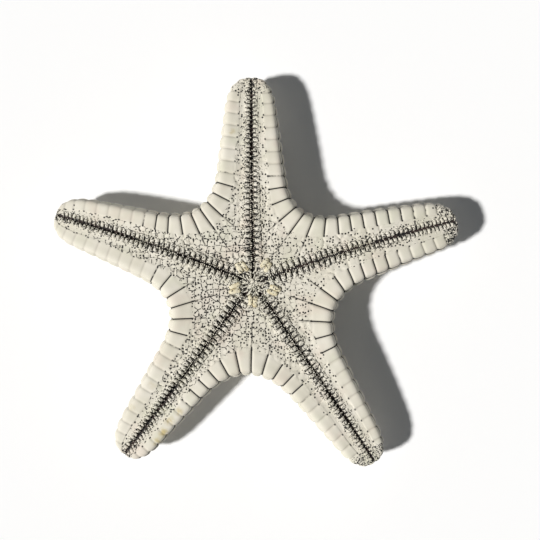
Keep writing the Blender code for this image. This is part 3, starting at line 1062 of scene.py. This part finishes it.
def jaw_material(amount):
    """Calcite jaws stained by the gut: yellow cream with olive-brown smears."""
    material, tree, shader = new_material("stained calcite jaws", 0.62, CALCITE_IOR)
    add = partial(add_node, tree)
    where = add("ShaderNodeTexCoord")["Object"]
    smears = add(NOISE, spaced(where, SMEAR_SIZE, Detail=3.0))[0]
    yellow = add(RANGE, {0: smears, 1: 0.4, 2: 0.6})[0]
    olive = add(RANGE, {0: smears, 1: 0.58, 2: 0.7, 4: 0.8})[0]
    colour = JAW_CREAM
    for share, tone in (
        (yellow, JAW_YELLOW),
        (olive, JAW_OLIVE),
        (wrinkles(tree, where, amount), SEAM_AND_SHADE_BLACK),
    ):
        colour = add(MIX, {0: share, 6: colour, 7: tone}, data_type="RGBA")[2]
    tree.links.new(colour, shader["Base Color"])
    return material


# The plates and grains of the comb hold a little more dried skin than the spines do.
comb_calcite = spine_material("bleached calcite of the comb", 0.56)
spine_calcite = spine_material("wrinkled calcite spines", 0.53)
jaw_calcite = jaw_material(0.48)

# %% [markdown]
# ## Small parts that repeat
#
# Along each groove stands a comb: one small plate after another, each with a fan of spines
# that lean over the groove. There are hundreds, all alike, so one shape is given and
# a Geometry Nodes tree sets a copy on every place, with a little difference from a fixed
# seed. The places come from the same measures as the skin, so the comb follows the groove.

# %% Shapes that are copied
def rounded(value, squareness):
    """The size of the value to the power of squareness, with the value's own sign."""
    return math.copysign(abs(value) ** squareness, value)


def shape_object(name, rings, sides, squareness=1.0):
    """Closed round shape from rings of (radius x, radius y, height), in mm.

    Its plan is an ellipse at squareness 1 and comes near a rectangle below 0.5.
    """
    mesh = bmesh.new()
    loops = []
    for radius_x, radius_y, height in rings:
        loop = []
        for k in range(sides):
            angle = 2.0 * math.pi * k / sides
            x = radius_x * rounded(math.cos(angle), squareness)
            y = radius_y * rounded(math.sin(angle), squareness)
            loop.append(mesh.verts.new((x * MM, y * MM, height * MM)))
        loops.append(loop)
    for lower, upper in zip(loops, loops[1:]):
        for k in range(sides):
            n = (k + 1) % sides
            mesh.faces.new((lower[k], lower[n], upper[n], upper[k]))
    mesh.faces.new(loops[0][::-1])
    mesh.faces.new(loops[-1])
    data = bpy.data.meshes.new(name)
    mesh.to_mesh(data)
    mesh.free()
    data.shade_smooth()
    return linked_object(name, data)


# A low rounded tab one unit long and wide, a slim spine one unit tall, and a round grain.
tab_shape = shape_object(
    "tab_shape",
    ((0.48, 0.46, -0.5), (0.50, 0.48, 0.0), (0.47, 0.43, 0.3), (0.36, 0.27, 0.44)),
    sides=12,
    squareness=0.55,
)
spine_shape = shape_object(
    "spine_shape",
    ((0.13, 0.13, 0.0), (0.16, 0.16, 0.3), (0.13, 0.13, 0.75), (0.06, 0.06, 1.0)),
    sides=6,
)
grain_shape = shape_object(
    "grain_shape",
    ((0.40, 0.40, -0.4), (0.50, 0.50, 0.0), (0.38, 0.38, 0.35), (0.16, 0.16, 0.5)),
    sides=7,
)
print("shapes:", tab_shape.name, spine_shape.name, grain_shape.name)


# %% A tree that sets a shape on every place
def copies_tree():
    """Geometry Nodes tree: a turned and sized copy of a shape on each point."""
    tree = bpy.data.node_groups.new("set a shape on every place", "GeometryNodeTree")
    for name, kind in (
        ("Places", "Geometry"),
        ("Shape", "Object"),
        ("Finish", "Material"),
        ("Size spread", "Float"),
        ("Lean spread", "Float"),
        ("Seed", "Int"),
    ):
        tree.interface.new_socket(name, in_out="INPUT", socket_type="NodeSocket" + kind)
    tree.interface.new_socket("Copies", in_out="OUTPUT", socket_type="NodeSocketGeometry")
    add = partial(add_node, tree)
    enter = add("NodeGroupInput")
    read = partial(add, "GeometryNodeInputNamedAttribute", data_type="FLOAT_VECTOR")
    turn, size = read({"Name": "turn"})[0], read({"Name": "size"})[0]
    spread, most = enter["Size spread"], enter["Lean spread"]
    lowest = add(MATH, {0: 1.0, 1: spread}, operation="SUBTRACT")[0]
    highest = add(MATH, {0: 1.0, 1: spread}, operation="ADD")[0]
    sizes = {2: lowest, 3: highest, "Seed": enter["Seed"]}
    factor = add("FunctionNodeRandomValue", sizes, data_type="FLOAT")[1]
    scale = add(VECTOR, {0: size, "Scale": factor}, operation="SCALE")[0]
    least = add(MATH, {0: most, 1: -1.0}, operation="MULTIPLY")[0]
    low = add("ShaderNodeCombineXYZ", {0: least, 1: least, 2: least})[0]
    high = add("ShaderNodeCombineXYZ", {0: most, 1: most, 2: most})[0]
    leans = {0: low, 1: high, "Seed": enter["Seed"]}
    lean = add("FunctionNodeRandomValue", leans, data_type="FLOAT_VECTOR")[0]
    total = add(VECTOR, {0: turn, 1: lean}, operation="ADD")[0]
    rotation = add("FunctionNodeEulerToRotation", {0: total})[0]
    shape = add("GeometryNodeObjectInfo", {"Object": enter["Shape"]})["Geometry"]
    copies = add(
        "GeometryNodeInstanceOnPoints",
        {"Points": enter["Places"], "Instance": shape, "Rotation": rotation, "Scale": scale},
    )
    real = add("GeometryNodeRealizeInstances", {0: copies[0]})[0]
    finished = add("GeometryNodeSetMaterial", {"Geometry": real, "Material": enter["Finish"]})
    add("NodeGroupOutput", {0: finished[0]})
    return tree


copy_tree = copies_tree()


# %% From a list of spots to one plain mesh
def set_copies(name, spots, shape, finish, size_spread, lean_spread, seed):
    """Plain mesh object with a copy of the shape on each spot.

    A spot is a place, a turn as Euler angles and a size on three axes, in mm and radians.
    """
    data = bpy.data.meshes.new(name)
    data.from_pydata([[v * MM for v in spot[0]] for spot in spots], [], [])
    for key, column in (("turn", 1), ("size", 2)):
        layer = data.attributes.new(key, "FLOAT_VECTOR", "POINT")
        values = np.array([spot[column] for spot in spots], np.float32)
        layer.data.foreach_set("vector", values.reshape(-1))
    holder = linked_object(name + "_places", data)
    modifier = holder.modifiers.new("copies", "NODES")
    modifier.node_group = copy_tree
    given = {"Shape": shape, "Finish": finish, "Seed": seed}
    given.update({"Size spread": size_spread, "Lean spread": lean_spread})
    for item in copy_tree.interface.items_tree:
        if item.in_out == "INPUT" and item.name in given:
            modifier[item.identifier] = given[item.name]
    graph = bpy.context.evaluated_depsgraph_get()
    made = bpy.data.meshes.new_from_object(holder.evaluated_get(graph))
    made.name = name
    bpy.data.objects.remove(holder)
    made.shade_smooth()
    print(name, len(spots), "copies,", sum(len(p.vertices) - 2 for p in made.polygons), "triangles")
    return linked_object(name, made)


# %% Places along the grooves
COMB_PITCH = (2.45, 1.45)  # at the mouth and at the tip
COMB_START = 6.4
TAB_INNER_END = 0.95
TAB_INNER_SHIFT = 0.55  # how much nearer to the groove the tabs begin at the tip
TAB_OUTER_END = 3.7
TAB_HEIGHT = 1.3
TAB_FILL = 0.83  # share of the pitch that a tab fills
SHRINK = 0.38  # share of its size that the comb has lost at the tip
SPINES_PER_TAB = 3
SPINE_WIDTH = 1.9
SPINE_HEIGHT = 1.3
SPINE_LEAN = 26.0
GRAIN_WIDTH = 0.8
place_rng = np.random.default_rng(23)


def comb_distances(half):
    """Distances along the groove of the comb's plates."""
    end = half.stations[-1] - 0.3
    found = [COMB_START + (0.0 if half.side > 0 else 0.4)]
    while found[-1] < end:
        found.append(found[-1] + graded(COMB_PITCH, found[-1] / end))
    return found[:-1]


def add_comb(half):
    """Adds the spots of every tab, spine and grain on one side of a groove."""
    arm, side = ARMS[half.arm], half.side
    left = unit_vector(arm.heading + 90.0) * side
    outward = math.radians(arm.heading + 90.0 * side)
    along = unit_vector(arm.heading)
    for s in comb_distances(half):
        groove = groove_points(arm, [s])[0]
        share = s / half.stations[-1]
        shrink = 1.0 - SHRINK * share
        pitch = graded(COMB_PITCH, share)
        top = oral_level(s)
        inner_end = TAB_INNER_END - TAB_INNER_SHIFT * share
        length = TAB_OUTER_END * shrink - inner_end + place_rng.uniform(-0.3, 0.3)
        centre = groove + left * (inner_end + length / 2.0)
        size = (length, pitch * TAB_FILL, TAB_HEIGHT)
        tabs.append(((*centre, top - 0.6), (0.0, 0.0, outward), size))
        for k in range(SPINES_PER_TAB if share < 0.6 else 1):
            foot = groove + left * (TAB_INNER_END * shrink) + along * pitch * (k - 1.0) / 3.3
            lean = math.radians(place_rng.uniform(-20.0, 20.0) - SPINE_LEAN)
            size = (SPINE_WIDTH * shrink, SPINE_WIDTH * shrink, SPINE_HEIGHT * shrink)
            spines.append(((*foot, top - 1.2), (0.0, lean, outward), size))
        for k in range(2):
            along_by = along * place_rng.uniform(-0.5, 0.5) * pitch
            spot = groove + left * (3.3 + 1.1 * k) * shrink + along_by
            size = (GRAIN_WIDTH * shrink,) * 3
            grains.append(((*spot, top - 0.45), (0.0, 0.0, outward), size))


tabs, spines, grains = [], [], []
for half in halves:
    add_comb(half)
comb_plates = set_copies("groove_plates", tabs, tab_shape, comb_calcite, 0.08, 0.10, 3)
comb_spines = set_copies("groove_spines", spines, spine_shape, spine_calcite, 0.18, 0.12, 5)
comb_grains = set_copies("groove_grains", grains, grain_shape, comb_calcite, 0.25, 0.15, 7)

# %% [markdown]
# ## The mouth
#
# Five jaws point to the mouth, one below each notch. Each is a pair of oval plates with a
# seam between them. Rings of short spines close the mouth, and a row of them stands beside
# each jaw. The jaws keep some yellow from the gut, so they get a material of their own.

# %% Jaws and the spines round the mouth
JAW_AT = (8.3, 7.4, 7.2, 6.7, 8.2)  # from the mouth to the middle of each jaw
JAW_SIZE = (4.4, 1.95, 1.3)
SIDE_SPINES = 6
SIDE_SPINE_SIZE = (2.2, 2.2, 1.1)
SPINE_RINGS = 6
RING_SPINE_SIZE = (2.3, 2.3, 1.8)
RING_SPREAD = 64.0  # degrees of each ring that hold the spines of one jaw


def add_jaw(heading, reach):
    """Adds the spots of one jaw's two plates and of the spines on both sides of it."""
    out, beside = unit_vector(heading), unit_vector(heading + 90.0)
    turn = math.radians(heading)
    for side in (1, -1):
        centre = out * (reach + 0.3 * side) + beside * side * JAW_SIZE[1] * 0.5
        jaws.append(((*centre, ORAL_LEVEL - 0.4), (0.0, 0.0, turn - 0.1 * side), JAW_SIZE))
        for k in range(SIDE_SPINES):
            spot = out * (5.6 + 0.75 * k) + beside * side * (2.3 + 0.2 * k)
            lean = (side * -0.7, 0.0, turn)
            mouth_spines.append(((*spot, ORAL_LEVEL - 0.9), lean, SIDE_SPINE_SIZE))


def add_rings(heading):
    """Adds the spots of the spines between the mouth and one jaw, which lie towards it."""
    for ring in range(SPINE_RINGS):
        radius = 1.0 + ring
        count = 3 + ring // 2
        for k in range(count):
            angle = math.radians(heading) + math.radians(RING_SPREAD) * ((k + 0.5) / count - 0.5)
            spot = (radius * math.cos(angle), radius * math.sin(angle), ORAL_LEVEL - 1.3)
            aim = angle + place_rng.uniform(-0.7, 0.7)
            lean = math.radians(-70.0 + place_rng.uniform(-8.0, 8.0))
            mouth_spines.append((spot, (0.0, lean, aim), RING_SPINE_SIZE))


jaws, mouth_spines = [], []
for notch in range(len(ARMS)):
    add_jaw(notch_heading(notch), JAW_AT[notch])
    add_rings(notch_heading(notch))
jaw_plates = set_copies("jaw_plates", jaws, tab_shape, jaw_calcite, 0.06, 0.05, 11)
jaw_spines = set_copies("jaw_spines", mouth_spines, spine_shape, spine_calcite, 0.15, 0.15, 13)
for shape in (tab_shape, spine_shape, grain_shape):
    bpy.data.objects.remove(shape)

# %% [markdown]
# ## Body, floor, light and camera
#
# Every piece rides the one body. The
# animal lies on a white ground in hard sun from the lower left, so one sun lamp with a small
# disc gives the soft-edged shadow, and a dim, slightly blue sky fills it. The camera looks
# straight down from far away, where the perspective is weak.

# %% Tie every piece to the body
pieces = (skin, comb_plates, comb_spines, comb_grains, jaw_plates, jaw_spines)
for piece in pieces:
    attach(piece, "root")
    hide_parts("starfish")
print("pieces on the body:", len(pieces))

# %% Floor
FLOOR_SIZE = 3.0
half_floor = FLOOR_SIZE / 2.0
floor_data = bpy.data.meshes.new("floor")
signs = ((-1, -1), (1, -1), (1, 1), (-1, 1))
corners = [(x * half_floor, y * half_floor, 0.0) for x, y in signs]
floor_data.from_pydata(corners, [], [(0, 1, 2, 3)])
floor = linked_object("floor", floor_data)
floor_paint, _, floor_shader = new_material("white ground", 1.0, 1.5)
floor_shader["Base Color"].default_value = (0.97, 0.975, 0.985, 1.0)
floor_data.materials.append(floor_paint)
print("floor:", FLOOR_SIZE, "m wide")

# %% Sun and sky
SHADOW_REACH = Vector((15.6, 5.0, -20.0))  # where a point 20 mm up throws its shadow, in mm
sun_data = bpy.data.lights.new("sun", "SUN")
sun_data.energy = 3.75
sun_data.angle = math.radians(5.0)
sun_data.color = (1.0, 0.985, 0.96)
sun = linked_object("sun", sun_data)
sun.rotation_euler = SHADOW_REACH.to_track_quat("-Z", "Y").to_euler()

world = bpy.data.worlds.new("sky")
bpy.context.scene.world = world
world.use_nodes = True
sky = world.node_tree.nodes["Background"]
sky.inputs["Color"].default_value = (0.91, 0.955, 1.0, 1.0)
sky.inputs["Strength"].default_value = 0.1
bpy.context.scene.view_settings.view_transform = "Standard"
print("sun:", sun_data.energy, "W/m2")

# %% Camera
PIXELS = 540
MM_PER_PIXEL = 0.375
MOUTH_PIXEL = (253.2, 283.0)
CAMERA_ABOVE_MOUTH_SIDE = 420.0
SENSOR = 36.0
camera_data = bpy.data.cameras.new("camera")
camera_data.sensor_width = SENSOR
camera_data.lens = SENSOR * CAMERA_ABOVE_MOUTH_SIDE / (PIXELS * MM_PER_PIXEL)
camera = linked_object("camera", camera_data)
camera.location = (
    (PIXELS / 2 - MOUTH_PIXEL[0]) * MM_PER_PIXEL * MM,
    (MOUTH_PIXEL[1] - PIXELS / 2) * MM_PER_PIXEL * MM,
    (ORAL_LEVEL + CAMERA_ABOVE_MOUTH_SIDE) * MM,
)
bpy.context.scene.camera = camera
print("lens:", round(camera_data.lens, 1), "mm")
